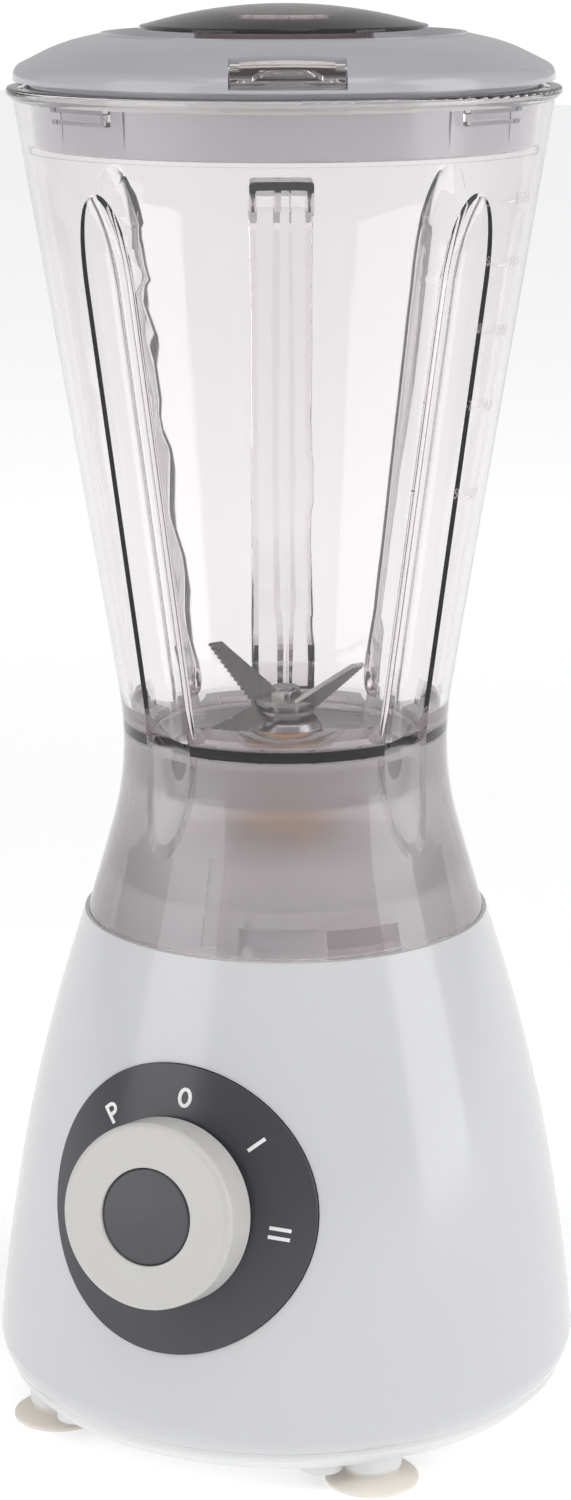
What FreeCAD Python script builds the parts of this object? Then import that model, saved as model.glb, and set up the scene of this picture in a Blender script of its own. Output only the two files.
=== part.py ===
import FreeCAD, Part
import math
import os

# Countertop blender. Millimetres, +Z up. The origin lies on the motor axis, level with the undersides
# of the feet. The dial faces -Y. Angles called "bearing" run counter-clockwise seen from above, from -Y.

Vector = FreeCAD.Vector
AXIS = Vector(0, 0, 1)
CENTRE = Vector(0, 0, 0)

# ---- driving dimensions -------------------------------------------------------------------------
RIM_Z = 394.0            # plane of the jar's pouring rim
DECK_Z = 153.4           # ledge of the base that the jar stands on
SKIRT_Z = 153.7          # lower edge of the jar's skirt
SEAM_Z = 14.8            # lower edge of the base shell
PLATE_Z = 8.0            # underside of the bottom plate
CONE_SLOPE = 0.162       # radius gained per mm of height on the jar's cup
CONE_R = 76.95           # outer radius of the cup at the rim plane
SKIRT_R = 58.8           # outer radius at the skirt's lower edge
WAIST_R = 45.45          # radius where the lines of cup and skirt would meet
WAIST_Z = 199.5
WAIST_BEND = 97.0        # radius of the bend at the waist
LIP_R = 78.4
JAR_WALL = 2.45
RIM_WALL = 1.8           # the wall is thinner above the shoulder under the lid's plug
SHOULDER_Z = 376.6
BASE_R = 87.3            # widest radius of the base
BASE_WIDE_Z = 21.5
BASE_WALL = 2.6
REST_TURN = 26.0         # the jar is set down this far short of its locked bearing
RUN = 0.05               # radial running clearance of a shaft in its bore
GAP = 0.3                # clearance between pieces that move apart
EPS = 0.01

# flutes: four grooves pressed into the cup and the top of the skirt
FLUTE_BEARINGS = (46.3, 133.7, 226.3, 313.7)
FLUTE_R = 11.2
FLUTE_OUT = 6.2          # the groove's centre line stands this far outside the wall
FLUTE_TOP_Z = 340.0
FLUTE_LOW_Z = 214.0
FLUTE_TOP_BEND = 60.0
FLUTE_TOP_SWING = 40.0
FLUTE_LOW_BEND = 40.0
FLUTE_LOW_SWING = 65.0

# bayonet between skirt and base
LUG_COUNT = 3
LUG_BEARING = 23.0
LUG_HALF = 11.65
HOOK_HALF = 12.4
RIB_BEARING = -23.5

# dial
DIAL_Z = 84.0
DIAL_TILT = 11.0
DIAL_R = 41.5
DIAL_PROUD = 0.9
KNOB_R = 26.7
KNOB_FACE = 14.6
KNOB_CAP_R = 13.7
SHAFT_R = 3.0

# motor and drive line
MOTOR_SHAFT_R = 4.0
BLADE_SHAFT_R = 3.0
ROTOR_R = 16.6
CORE_Z = (66.0, 100.0)
COUPLING_Z = 171.0
DOG_COUNT = 3
DOG_HALF = 12.5
MOUNT_XY = 31.0          # the motor hangs from four posts at (+-31, +-31)

# feet and screws
FOOT_RING = 73.0
FOOT_BEARINGS = (45.0, 135.0, 225.0, 315.0)
CUP_R = 13.7
SCREW_BEARINGS = (33.0, 147.0, 213.0, 327.0)

# lid
LID_R = 76.4
RECESS_R = 50.0
NECK_R = 25.4
CAP_R = 40.7
FLAP_HALF = 15.2
FLAP_AXIS = (-67.4, 401.6)

# handle
GRIP_OUT = 104.0
GRIP_IN = 95.0
GRIP_HALF = 10.0


# ---- shared helpers -----------------------------------------------------------------------------
def point(r, z):
    return Vector(r, 0, z)


def outline(corners):
    """Closed outline in the XZ plane. A corner is (x, z) or (x, z, rounding radius)."""
    edges = []
    count = len(corners)
    starts, ends = [], []
    for i, corner in enumerate(corners):
        here = point(corner[0], corner[1])
        radius = corner[2] if len(corner) > 2 else 0
        if radius == 0:
            starts.append(here)
            ends.append(here)
            edges.append(None)
            continue
        before = corners[i - 1]
        after = corners[(i + 1) % count]
        back = (point(before[0], before[1]) - here).normalize()
        on = (point(after[0], after[1]) - here).normalize()
        half = back.getAngle(on) / 2
        reach = radius / math.tan(half)
        middle = here + (back + on).normalize() * (radius / math.sin(half))
        near = middle + (here - middle).normalize() * radius
        starts.append(here + back * reach)
        ends.append(here + on * reach)
        edges.append(Part.Arc(starts[-1], near, ends[-1]).toShape())
    run = []
    for i in range(count):
        if edges[i] is not None:
            run.append(edges[i])
        target = starts[(i + 1) % count]
        if (target - ends[i]).Length > 1e-6:
            run.append(Part.LineSegment(ends[i], target).toShape())
    return Part.Wire(run)


def revolve(corners, angle=360.0):
    return Part.Face(outline(corners)).revolve(CENTRE, AXIS, angle)


def slab(corners, y0, y1):
    """The outline in the XZ plane, thickened from y0 to y1."""
    face = Part.Face(outline(corners))
    face.translate(Vector(0, y0, 0))
    return face.extrude(Vector(0, y1 - y0, 0))


def rod(r, z0, z1, x=0.0, y=0.0):
    return Part.makeCylinder(r, z1 - z0, Vector(x, y, z0))


def tube(r_out, r_in, z0, z1, x=0.0, y=0.0):
    return rod(r_out, z0, z1, x, y).cut(rod(r_in, z0 - 1, z1 + 1, x, y))


def block(x0, x1, y0, y1, z0, z1):
    return Part.makeBox(x1 - x0, y1 - y0, z1 - z0, Vector(x0, y0, z0))


def turned(shape, degrees):
    copy = shape.copy()
    copy.rotate(CENTRE, AXIS, degrees)
    return copy


def moved(shape, x, y, z):
    copy = shape.copy()
    copy.translate(Vector(x, y, z))
    return copy


def sector(r0, r1, z0, z1, bearing, half):
    """A block of a ring, centred on a bearing."""
    ring = revolve([(r0, z0), (r1, z0), (r1, z1), (r0, z1)], 2 * half)
    return turned(ring, bearing - 90.0 - half)


def at_bearing(bearing, r):
    """The x and y of a place at a bearing and a radius."""
    angle = math.radians(bearing)
    return r * math.sin(angle), -r * math.cos(angle)


def join(shapes):
    whole = shapes[0].multiFuse(shapes[1:]) if len(shapes) > 1 else shapes[0]
    return whole.removeSplitter()


def around(shape, count, first=0.0):
    return [turned(shape, first + 360.0 * i / count) for i in range(count)]


def swept(path, r, tangent):
    """A round section carried along a path that starts in the given direction."""
    start = path.Edges[0].firstVertex().Point if path.Edges[0].Orientation == "Forward" \
        else path.Edges[0].lastVertex().Point
    circle = Part.Wire(Part.makeCircle(r, start, tangent))
    return path.makePipeShell([circle], True, False)


def coil(r, wire, pitch, height):
    """A coil spring standing on the origin."""
    helix = Part.Wire(Part.makeHelix(pitch, height, r))
    circle = Part.Wire(Part.makeCircle(wire, Vector(r, 0, 0), Vector(0, 1, pitch / (2 * math.pi * r))))
    return helix.makePipeShell([circle], True, True)


def in_dial(shape):
    """Carry a shape from the dial's own frame (+Z out of the dial, +Y up the dial) to its place."""
    copy = shape.copy()
    copy.rotate(CENTRE, Vector(1, 0, 0), 90.0 - DIAL_TILT)
    x, y = at_bearing(0, base_radius(DIAL_Z))
    copy.translate(Vector(x, y, DIAL_Z))
    return copy


def save(name, shapes):
    if not isinstance(shapes, list):
        shapes = [shapes]
    solids = [solid for shape in shapes for solid in shape.Solids]
    whole = solids[0] if len(solids) == 1 else Part.makeCompound(solids)
    assert whole.isValid(), name
    whole.exportStep("parts/" + name + ".step")
    box = whole.BoundBox
    print(name, len(solids), round(whole.Volume), [round(v, 1) for v in
          (box.XMin, box.YMin, box.ZMin, box.XMax, box.YMax, box.ZMax)])


# ---- base shell ---------------------------------------------------------------------------------
def base_curve(inset):
    """The bell of the base from the deck down to its widest ring."""
    spots = [(59.9, DECK_Z), (68.9, 124.0), (76.4, 94.0), (82.0, 64.0), (85.9, 36.0), (BASE_R, BASE_WIDE_Z)]
    curve = Part.BSplineCurve()
    curve.interpolate([point(r - inset, z) for r, z in spots])
    return curve


def base_radius(z):
    """Outer radius of the bell at a height."""
    curve = base_curve(0.0)
    low, high = curve.FirstParameter, curve.LastParameter
    for _ in range(50):
        middle = (low + high) / 2
        if curve.value(middle).z > z:
            low = middle
        else:
            high = middle
    return curve.value(low).x


def bell(inset, top_z, seam_z):
    """Solid of revolution inside the bell, drawn in by the inset."""
    curve = base_curve(inset)
    top = curve.value(curve.FirstParameter)
    wide = curve.value(curve.LastParameter)
    turn = Part.Arc(wide, point(wide.x - 0.7, 18.0), point(84.8 - inset, SEAM_Z))
    foot = point(84.8 - inset, SEAM_Z)
    edges = [curve.toShape(), turn.toShape()]
    edges.append(Part.LineSegment(foot, point(0, SEAM_Z)).toShape())
    edges.append(Part.LineSegment(point(0, SEAM_Z), point(0, top.z)).toShape())
    edges.append(Part.LineSegment(point(0, top.z), top).toShape())
    solid = Part.Face(Part.Wire(edges)).revolve(CENTRE, AXIS, 360.0)
    keep = rod(200, seam_z, top_z)
    return solid.common(keep)


PEDESTAL_R = 46.0
PEDESTAL_TOP_R = 33.0
PEDESTAL_Z = 176.0
WELL_R = 16.0
WELL_Z = 164.0
SHAFT_HOLE_R = 7.0
COLLAR_R = 50.2
HOOK_R = 52.9


def deck():
    """Ledge, pedestal and coupling well that close the top of the bell."""
    wall = 2.4
    ledge_low = DECK_Z - 2.6
    section = [
        (SHAFT_HOLE_R, WELL_Z - wall), (WELL_R + wall, WELL_Z - wall, 2.0), (WELL_R + wall, PEDESTAL_Z - wall, 1.0),
        (PEDESTAL_TOP_R - 2.2, PEDESTAL_Z - wall, 5.0), (PEDESTAL_R - wall, ledge_low, 1.0), (59.0, ledge_low),
        (59.4, DECK_Z), (PEDESTAL_R, DECK_Z, 1.5), (PEDESTAL_TOP_R, PEDESTAL_Z, 7.0), (WELL_R, PEDESTAL_Z, 1.5),
        (WELL_R, WELL_Z), (SHAFT_HOLE_R, WELL_Z),
    ]
    parts = [revolve(section)]
    parts.append(tube(COLLAR_R, 47.8, DECK_Z - 0.5, 164.4))
    for i in range(LUG_COUNT):
        bearing = LUG_BEARING + 120.0 * i
        parts.append(sector(COLLAR_R - 0.5, HOOK_R, 161.2, 164.4, bearing, HOOK_HALF))
        parts.append(sector(COLLAR_R - 0.5, HOOK_R, DECK_Z - 0.5, 164.4, bearing - HOOK_HALF - 1.2, 1.2))
    return parts


PIN_R = 1.6
PIN_BEARING = 14.0
PIN_RING = 53.5


def interlock_guide():
    """Tube under the ledge that guides the interlock pin and holds its spring, with cheeks for the switch."""
    x, y = at_bearing(PIN_BEARING, PIN_RING)
    guide = rod(5.2, 138.5, DECK_Z - 1, x, y)
    parts = [guide.cut(rod(3.6, 140.3, DECK_Z - 2.6, x, y))]
    for x0, x1 in ((-12.0, -10.0), (10.0, 12.0)):
        cheek = block(x0, x1, -70.0, -PIN_RING + 3.2, 122.0, DECK_Z - 1.5)
        parts.append(turned(cheek, PIN_BEARING).common(bell(BASE_WALL / 2, DECK_Z, SEAM_Z)))
    parts.append(turned(block(-10.0, 10.0, -60.0, -PIN_RING - 3.2, 122.0, DECK_Z - 1.5), PIN_BEARING).common(
        bell(BASE_WALL / 2, DECK_Z, SEAM_Z)).cut(rod(5.0, 100.0, 160.0, x, y)))
    return join(parts)


def jar_seat_ring():
    """Slip ring let into the ledge, which the skirt turns on."""
    return tube(58.5, 56.7, 152.7, DECK_Z)


def screw_post(bearing):
    """Post for a case screw, with a web to the wall."""
    x, y = at_bearing(bearing, FOOT_RING)
    post = rod(4.5, 12.0, 46.0, x, y)
    web = turned(block(-1.2, 1.2, -90.0, -FOOT_RING, 20.0, 44.0), bearing)
    return post.fuse(web)


def base_shell():
    shell = bell(0.0, DECK_Z, SEAM_Z).cut(bell(BASE_WALL, DECK_Z - 2.6, SEAM_Z - 1))
    shell = shell.cut(rod(58.0, DECK_Z - 4.0, DECK_Z + 1.0))
    parts = [shell] + deck() + [interlock_guide()]
    inside = bell(BASE_WALL / 2, DECK_Z, SEAM_Z)
    for bearing in SCREW_BEARINGS:
        parts.append(screw_post(bearing).common(inside))
    for sx in (-1, 1):
        for sy in (-1, 1):
            parts.append(rod(4.5, 124.0, 159.5, sx * MOUNT_XY, sy * MOUNT_XY))
    seat = in_dial(rod(17.0, -7.0, -1.5))
    parts.append(seat.common(bell(BASE_WALL / 2, DECK_Z, SEAM_Z)))
    body = join(parts)
    body = body.cut(tube(58.8, 56.4, 152.4, DECK_Z + 1))
    x, y = at_bearing(PIN_BEARING, PIN_RING)
    body = body.cut(rod(PIN_R + RUN, 130.0, 170.0, x, y))
    for bearing in SCREW_BEARINGS:
        sx, sy = at_bearing(bearing, FOOT_RING)
        body = body.cut(rod(1.6, 10.0, 34.0, sx, sy))
    for sx in (-1, 1):
        for sy in (-1, 1):
            body = body.cut(rod(1.6, 120.0, 140.0, sx * MOUNT_XY, sy * MOUNT_XY))
    groove = bell(-5.0, DECK_Z - 5, SEAM_Z + 5).cut(bell(0.9, DECK_Z - 4, SEAM_Z + 4))
    recess = in_dial(rod(DIAL_R + 0.25, -30.0, 30.0)).common(groove).common(block(-60, 60, -120, -40, 20, 150))
    body = body.cut(recess)
    body = body.cut(in_dial(rod(6.2, -20.0, 20.0)))
    body = body.cut(cord_hole())
    return body


GLAND_Z = 27.0
GLAND_R = 6.0


def cord_hole():
    hole = Part.makeCylinder(GLAND_R + EPS, 20.0, Vector(0, 75.0, GLAND_Z), Vector(0, 1, 0))
    return hole


def cord_gland():
    """Bushing in the back wall that the supply cord would leave through."""
    back = base_radius(GLAND_Z)
    body = Part.makeCylinder(GLAND_R, 8.0, Vector(0, back - 6.0, GLAND_Z), Vector(0, 1, 0))
    flange = Part.makeCylinder(GLAND_R + 2.0, 2.0, Vector(0, back + 0.3, GLAND_Z), Vector(0, 1, 0))
    nut = Part.makeCylinder(GLAND_R + 2.0, 2.5, Vector(0, back - 6.5, GLAND_Z), Vector(0, 1, 0))
    bore = Part.makeCylinder(3.4, 30.0, Vector(0, back - 12.0, GLAND_Z), Vector(0, 1, 0))
    return join([body, flange, nut]).cut(bore)


def bottom_plate():
    section = [
        (0, PLATE_Z), (80.2, PLATE_Z, 3.0), (84.3, 12.4, 2.0), (84.3, SEAM_Z - GAP), (81.9, SEAM_Z - GAP),
        (81.9, 19.0), (79.6, 19.0), (79.6, 10.4), (0, 10.4),
    ]
    parts = [revolve(section)]
    for bearing in FOOT_BEARINGS:
        x, y = at_bearing(bearing, FOOT_RING)
        parts.append(rod(8.7, 5.0, 10.4, x, y))
    for bearing in SCREW_BEARINGS:
        x, y = at_bearing(bearing, FOOT_RING)
        parts.append(rod(6.5, 5.4, 11.6, x, y))
    for side in (-1, 1):
        x0, x1 = sorted((side * 21.0, side * 26.0))
        parts.append(block(x0, x1, 48.0, 53.6, 9.0, 42.0))
    plate = join(parts)
    plate = plate.cut(block(-24.05, 24.05, 50.0 - EPS, 51.6 + EPS, 34.0 - EPS, 70.0))
    for bearing in FOOT_BEARINGS:
        x, y = at_bearing(bearing, FOOT_RING)
        plate = plate.cut(rod(3.5, 4.0, 12.0, x, y))
    for bearing in SCREW_BEARINGS:
        x, y = at_bearing(bearing, FOOT_RING)
        plate = plate.cut(rod(3.6, 5.0, 8.6, x, y)).cut(rod(2.0, 5.0, 13.0, x, y))
    slot = block(-1.3, 1.3, -44.0, -25.0, 5.0, 12.0)
    for vent in around(slot, 16):
        plate = plate.cut(vent)
    return plate


def suction_cup():
    """One foot: a stem that plugs into the bottom plate and a thin flared cup."""
    section = [
        (0, 10.0), (3.5 - EPS, 10.0), (3.5 - EPS, 5.0), (7.6, 5.0), (7.6, 3.3, 1.2), (12.8, 1.7, 2.0),
        (CUP_R, 0.9, 0.3), (CUP_R, 0), (11.6, 0), (8.0, 1.9), (0, 2.4),
    ]
    return revolve(section)


def suction_feet():
    cup = suction_cup()
    return [moved(cup, *at_bearing(bearing, FOOT_RING), 0) for bearing in FOOT_BEARINGS]


def pan_screw(r, length, head_r, head_h):
    """Cross-recessed screw standing on its head at the origin."""
    screw = rod(head_r, 0, head_h).fuse(rod(r, head_h - EPS, head_h + length))
    for turn in (0.0, 90.0):
        screw = screw.cut(turned(block(-head_r * 0.6, head_r * 0.6, -0.4, 0.4, -1, head_h * 0.5), turn))
    return screw


def case_screws():
    screw = pan_screw(1.6, 20.0, 3.3, 2.4)
    return [moved(screw, *at_bearing(bearing, FOOT_RING), 6.2) for bearing in SCREW_BEARINGS]


# ---- dial and switch ----------------------------------------------------------------------------
def dial_plate():
    """Round panel that follows the bell and stands slightly proud of it."""
    skin = bell(-DIAL_PROUD, DECK_Z - 5, SEAM_Z + 5).cut(bell(0.85, DECK_Z - 4, SEAM_Z + 4))
    disc = in_dial(rod(DIAL_R, -30.0, 30.0)).common(skin).common(block(-60, 60, -120, -40, 20, 150))
    return disc.cut(in_dial(rod(6.2, -20.0, 20.0)))


def control_knob():
    back = 1.6
    section = [
        (0, KNOB_FACE - 3.2), (KNOB_CAP_R + 0.15, KNOB_FACE - 3.2), (KNOB_CAP_R + 0.15, KNOB_FACE, 0.5),
        (KNOB_R - 0.3, KNOB_FACE, 2.2), (KNOB_R, back, 0.6), (KNOB_R - 2.4, back), (KNOB_R - 2.8, KNOB_FACE - 5.4),
        (7.5, KNOB_FACE - 5.4, 1.0), (7.5, 3.0), (0, 3.0),
    ]
    knob = revolve(section)
    bore = rod(SHAFT_R + EPS, 2.0, 10.0).cut(block(-5, 5, SHAFT_R - 0.6, 5, 0, 12))
    return in_dial(knob.cut(bore))


def knob_cap():
    section = [
        (0, KNOB_FACE - 3.2), (KNOB_CAP_R, KNOB_FACE - 3.2), (KNOB_CAP_R, KNOB_FACE - 0.5, 0.8), (0, KNOB_FACE - 0.1)
    ]
    return in_dial(revolve(section))


def switch_shaft():
    shaft = rod(SHAFT_R, -14.0, 10.0 - EPS)
    return in_dial(shaft.cut(block(-5, 5, SHAFT_R - 0.6 - EPS, 5, 1.0, 12)))


SWITCH_FRONT = -7.0


def switch_body():
    body = block(-12.5, 12.5, -13.5, 13.5, SWITCH_FRONT - 16.0, SWITCH_FRONT)
    nose = rod(5.4, SWITCH_FRONT - EPS, -1.2)
    body = body.fuse(nose).cut(rod(SHAFT_R + RUN, -14.3, 5.0))
    return in_dial(body)


def switch_terminals():
    tabs = []
    for i in range(4):
        x = -9.0 + 6.0 * i
        tabs.append(in_dial(block(x - 0.4, x + 0.4, -2.5, 2.5, SWITCH_FRONT - 24.0, SWITCH_FRONT - 16.0)))
    return tabs


# ---- motor --------------------------------------------------------------------------------------
def field_coil(side, grow):
    """Rectangular winding that loops round one pole of the stator."""
    x0, x1 = 18.5 - grow, 25.5 + grow
    z0, z1 = CORE_Z[0] - 7.5, CORE_Z[1] + 7.5
    ring = block(x0, x1, -21.0 - grow, 21.0 + grow, z0 - grow, z1 + grow)
    ring = ring.cut(block(x0 - 1, x1 + 1, -14.0 + grow, 14.0 - grow, CORE_Z[0] - 0.3, CORE_Z[1] + 0.3))
    return ring if side > 0 else turned(ring, 180.0)


def stator_core():
    core = block(-33.0, 33.0, -28.0, 28.0, *CORE_Z)
    vertical = [edge for edge in core.Edges if abs(edge.tangentAt(edge.FirstParameter).z) > 0.9]
    core = core.makeFillet(8.0, vertical).cut(rod(ROTOR_R + 0.7, CORE_Z[0] - 1, CORE_Z[1] + 1))
    for side in (-1, 1):
        core = core.cut(field_coil(side, 0.15))
        core = core.cut(rod(2.1, CORE_Z[0] - 1, CORE_Z[1] + 1, 0, side * 24.5))
    return core


def field_coils():
    return [field_coil(side, 0.0).cut(rod(ROTOR_R + 1.2, 50, 120)) for side in (-1, 1)]


def upper_bracket():
    """Plate with four ears that hangs the motor from the deck."""
    plate = rod(22.0, 116.0, 119.0).fuse(block(-6, 6, -28, 28, 116.0, 119.0))
    for turn in (45.0, 135.0):
        plate = plate.fuse(turned(block(-44.0, 44.0, -7.0, 7.0, 116.0, 119.0), turn))
    plate = join([plate, rod(11.0, 112.0, 124.0)])
    for sx in (-1, 1):
        plate = plate.cut(rod(2.1, 100, 130, 0, sx * 24.5))
        for sy in (-1, 1):
            plate = plate.fuse(rod(7.0, 116.0, 119.0, sx * MOUNT_XY, sy * MOUNT_XY))
            plate = plate.cut(rod(3.2, 110, 125, sx * MOUNT_XY, sy * MOUNT_XY))
    return plate.cut(rod(8.0, 100, 130)).removeSplitter()


def lower_bracket():
    cross = [block(-34, 34, -9, 9, 38.0, 41.0), block(-6, 6, -28.5, 28.5, 38.0, 41.0), rod(11.0, 34.0, 44.0)]
    bracket = join(cross).cut(rod(8.0, 30, 50))
    for side in (-1, 1):
        bracket = bracket.cut(rod(2.1, 30, 50, 0, side * 24.5))
    return bracket


def motor_bearing(z0, z1):
    return tube(8.0 - EPS, MOTOR_SHAFT_R + RUN, z0, z1)


def motor_bolts():
    bolts = []
    for side in (-1, 1):
        bolt = rod(2.0, 36.0, 123.0).fuse(rod(3.6, 34.6, 38.0)).fuse(rod(3.6, 119.0, 121.5))
        bolts.append(moved(bolt, 0, side * 24.5, 0))
    return bolts


def bolt_spacers():
    spacers = []
    for side in (-1, 1):
        for z0, z1 in ((41.0, CORE_Z[0]), (CORE_Z[1], 116.0)):
            spacers.append(tube(3.4, 2.0 + EPS, z0, z1, 0, side * 24.5))
    return spacers


def rubber_mounts():
    """Grommets between the ears of the upper bracket and the posts."""
    section = [(1.9, 113.6), (6.4, 113.6, 0.8), (6.4, 116.0), (3.2 - EPS, 116.0), (3.2 - EPS, 119.0), (6.4, 119.0),
               (6.4, 124.0), (1.9, 124.0)]
    ring = revolve(section)
    return [moved(ring, sx * MOUNT_XY, sy * MOUNT_XY, 0) for sx in (-1, 1) for sy in (-1, 1)]


def mount_screws():
    screw = pan_screw(1.6, 22.0, 4.2, 2.2)
    return [moved(screw, sx * MOUNT_XY, sy * MOUNT_XY, 111.4) for sx in (-1, 1) for sy in (-1, 1)]


def brush_holders():
    holder = block(12.0, 31.0, -6.5, 6.5, 41.0, 58.0).cut(block(10.0, 33.0, -3.3, 3.3, 47.7, 54.3))
    return [holder, turned(holder, 180.0)]


def carbon_brushes():
    brush = block(9.0, 21.0, -3.15, 3.15, 47.85, 54.15).cut(rod(9.8, 40.0, 60.0))
    return [brush, turned(brush, 180.0)]


def brush_springs():
    spring = coil(2.2, 0.35, 1.6, 8.0)
    spring.rotate(CENTRE, Vector(0, 1, 0), 90.0)
    spring.translate(Vector(21.4, 0, 51.0))
    return [spring, turned(spring, 180.0)]


def motor_shaft():
    shaft = rod(MOTOR_SHAFT_R, 20.0, COUPLING_Z + 1.0)
    return shaft.cut(block(-6, 6, MOTOR_SHAFT_R - 0.8, 6, WELL_Z + 1.0, COUPLING_Z + 2))


def rotor_core():
    core = rod(ROTOR_R, *CORE_Z).cut(rod(MOTOR_SHAFT_R + EPS, 50, 120))
    slot = block(11.0, 20.0, -1.1, 1.1, CORE_Z[0] - 1, CORE_Z[1] + 1)
    for cut in around(slot, 12):
        core = core.cut(cut)
    return core


def rotor_windings():
    """The ends of the winding, above and below the core."""
    upper = revolve([(4.6, CORE_Z[1] + 0.2), (14.6, CORE_Z[1] + 0.2, 3.0), (13.0, CORE_Z[1] + 7.0, 2.5),
                     (4.6, CORE_Z[1] + 7.0, 1.0)])
    lower = revolve([(4.6, CORE_Z[0] - 7.0, 1.0), (13.0, CORE_Z[0] - 7.0, 2.5), (14.6, CORE_Z[0] - 0.2, 3.0),
                     (4.6, CORE_Z[0] - 0.2)])
    return [upper, lower]


def commutator():
    ring = tube(9.5, MOTOR_SHAFT_R + EPS, 46.0, 58.0)
    slot = block(8.6, 11.0, -0.25, 0.25, 45.0, 59.0)
    for cut in around(slot, 24):
        ring = ring.cut(cut)
    return ring


def cooling_fan():
    hub = tube(8.0, MOTOR_SHAFT_R + EPS, 22.0, 32.0)
    plate = tube(30.0, 7.0, 30.4, 32.0)
    vane = block(7.5, 29.0, -0.8, 0.8, 22.0, 30.8)
    vane.rotate(Vector(7.5, 0, 0), AXIS, 14.0)
    return join([hub, plate] + around(vane, 9))


def motor_seal():
    """Lip seal that keeps spills in the well off the motor."""
    section = [(MOTOR_SHAFT_R + RUN, WELL_Z - 2.4), (SHAFT_HOLE_R - EPS, WELL_Z - 2.4), (SHAFT_HOLE_R - EPS, WELL_Z),
               (8.6, WELL_Z), (8.6, WELL_Z + 0.7), (5.6, WELL_Z + 0.7), (MOTOR_SHAFT_R + RUN, WELL_Z)]
    return revolve(section)


def driver_coupling():
    """Three-dog coupling on the motor shaft."""
    disc = rod(13.0, WELL_Z + 1.2, COUPLING_Z)
    dogs = [sector(5.8, 12.2, COUPLING_Z - 0.5, COUPLING_Z + 5.6, 120.0 * i, DOG_HALF) for i in range(DOG_COUNT)]
    body = join([disc, rod(5.0, WELL_Z + 1.2, COUPLING_Z + 1.5)] + dogs)
    bore = rod(MOTOR_SHAFT_R + EPS, WELL_Z, COUPLING_Z + 1.0 + EPS)
    bore = bore.cut(block(-6, 6, MOTOR_SHAFT_R - 0.8 + EPS, 6, WELL_Z, COUPLING_Z + 2))
    return body.cut(bore)


def interlock_pin():
    x, y = at_bearing(PIN_BEARING, PIN_RING)
    pin = rod(PIN_R, 136.6, 155.5, x, y)
    return pin.fuse(rod(3.2, 147.0, 148.2, x, y))


def interlock_spring():
    x, y = at_bearing(PIN_BEARING, PIN_RING)
    return moved(coil(2.5, 0.35, 1.7, 5.6), x, y, 140.75)


def interlock_switch():
    x, y = at_bearing(PIN_BEARING, PIN_RING)
    body = turned(block(-10.0, 10.0, -PIN_RING - 3.2, -PIN_RING + 3.2, 122.0, 132.0), PIN_BEARING)
    return body.fuse(rod(1.2, 131.0, 134.2, x, y))


def circuit_board():
    """Upright board with its diode block and terminals."""
    board = block(-24.0, 24.0, 50.0, 51.6, 34.0, 66.0)
    parts = [board, block(-18.0, -4.0, 51.0, 60.0, 38.0, 48.0)]
    for i in range(3):
        parts.append(Part.makeCylinder(3.4, 8.0, Vector(4.0 + 8.0 * i, 51.0, 56.0), Vector(0, 1, 0)))
    return join(parts)


# ---- jar ----------------------------------------------------------------------------------------
def cone_radius(z):
    return CONE_R - CONE_SLOPE * (RIM_Z - z)


def hourglass(inset, low, high):
    """Cup and skirt as one solid of revolution, drawn in by the inset."""
    section = [
        (0, low), (SKIRT_R - inset + 0.2924 * (SKIRT_Z - low), low), (WAIST_R - inset, WAIST_Z, WAIST_BEND + inset),
        (cone_radius(high) - inset, high), (0, high),
    ]
    return revolve(section)


def flute_path():
    """Centre line of one groove, in the XZ plane, bending outward at both ends."""
    lean = math.atan(CONE_SLOPE)
    down = Vector(-math.sin(lean), 0, -math.cos(lean))
    out = Vector(math.cos(lean), 0, -math.sin(lean))
    top = point(cone_radius(FLUTE_TOP_Z) + FLUTE_OUT, FLUTE_TOP_Z)
    low = point(cone_radius(FLUTE_LOW_Z) + FLUTE_OUT, FLUTE_LOW_Z)

    def bend(start, along, radius, angle):
        middle = start + out * radius
        spots = []
        for part in (0.5, 1.0):
            a = math.radians(angle * part)
            spots.append(middle - out * (radius * math.cos(a)) + along * (radius * math.sin(a)))
        return spots

    upper_mid, upper_end = bend(top, down * -1, FLUTE_TOP_BEND, FLUTE_TOP_SWING)
    lower_mid, lower_end = bend(low, down, FLUTE_LOW_BEND, FLUTE_LOW_SWING)
    upper = Part.Arc(upper_end, upper_mid, top).toShape()
    middle = Part.LineSegment(top, low).toShape()
    lower = Part.Arc(low, lower_mid, lower_end).toShape()
    a = math.radians(FLUTE_TOP_SWING)
    tangent = down * math.cos(a) - out * math.sin(a)
    return Part.Wire([upper, middle, lower]), tangent


def flutes(r):
    path, tangent = flute_path()
    groove = swept(path, r, tangent)
    return [turned(groove, bearing - 90.0) for bearing in FLUTE_BEARINGS]


HUB_HOLE_R = 9.4
FLOOR_Z = 203.0          # inside of the cup's floor, at its hub


def jar_floor():
    """Dished floor of the cup."""
    section = [(HUB_HOLE_R, FLOOR_Z), (31.5, FLOOR_Z + 0.6, 8.0), (42.0, FLOOR_Z + 8.4, 6.0), (47.0, FLOOR_Z + 16.0),
               (47.5, FLOOR_Z + 4.6), (40.5, FLOOR_Z + 4.4), (33.0, FLOOR_Z - 2.4, 8.0), (HUB_HOLE_R, FLOOR_Z - 2.8)]
    return revolve(section)


def jar_ring():
    """Stiffening ring under the floor, with small ribs at its root."""
    parts = [tube(42.2, 39.8, 193.5, 204.4), tube(40.9, 38.9, 203.9, 208.4)]
    rib = block(-0.8, 0.8, -42.0, -40.5, 204.0, 208.4)
    return parts + around(rib, 18, 10.0)


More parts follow.
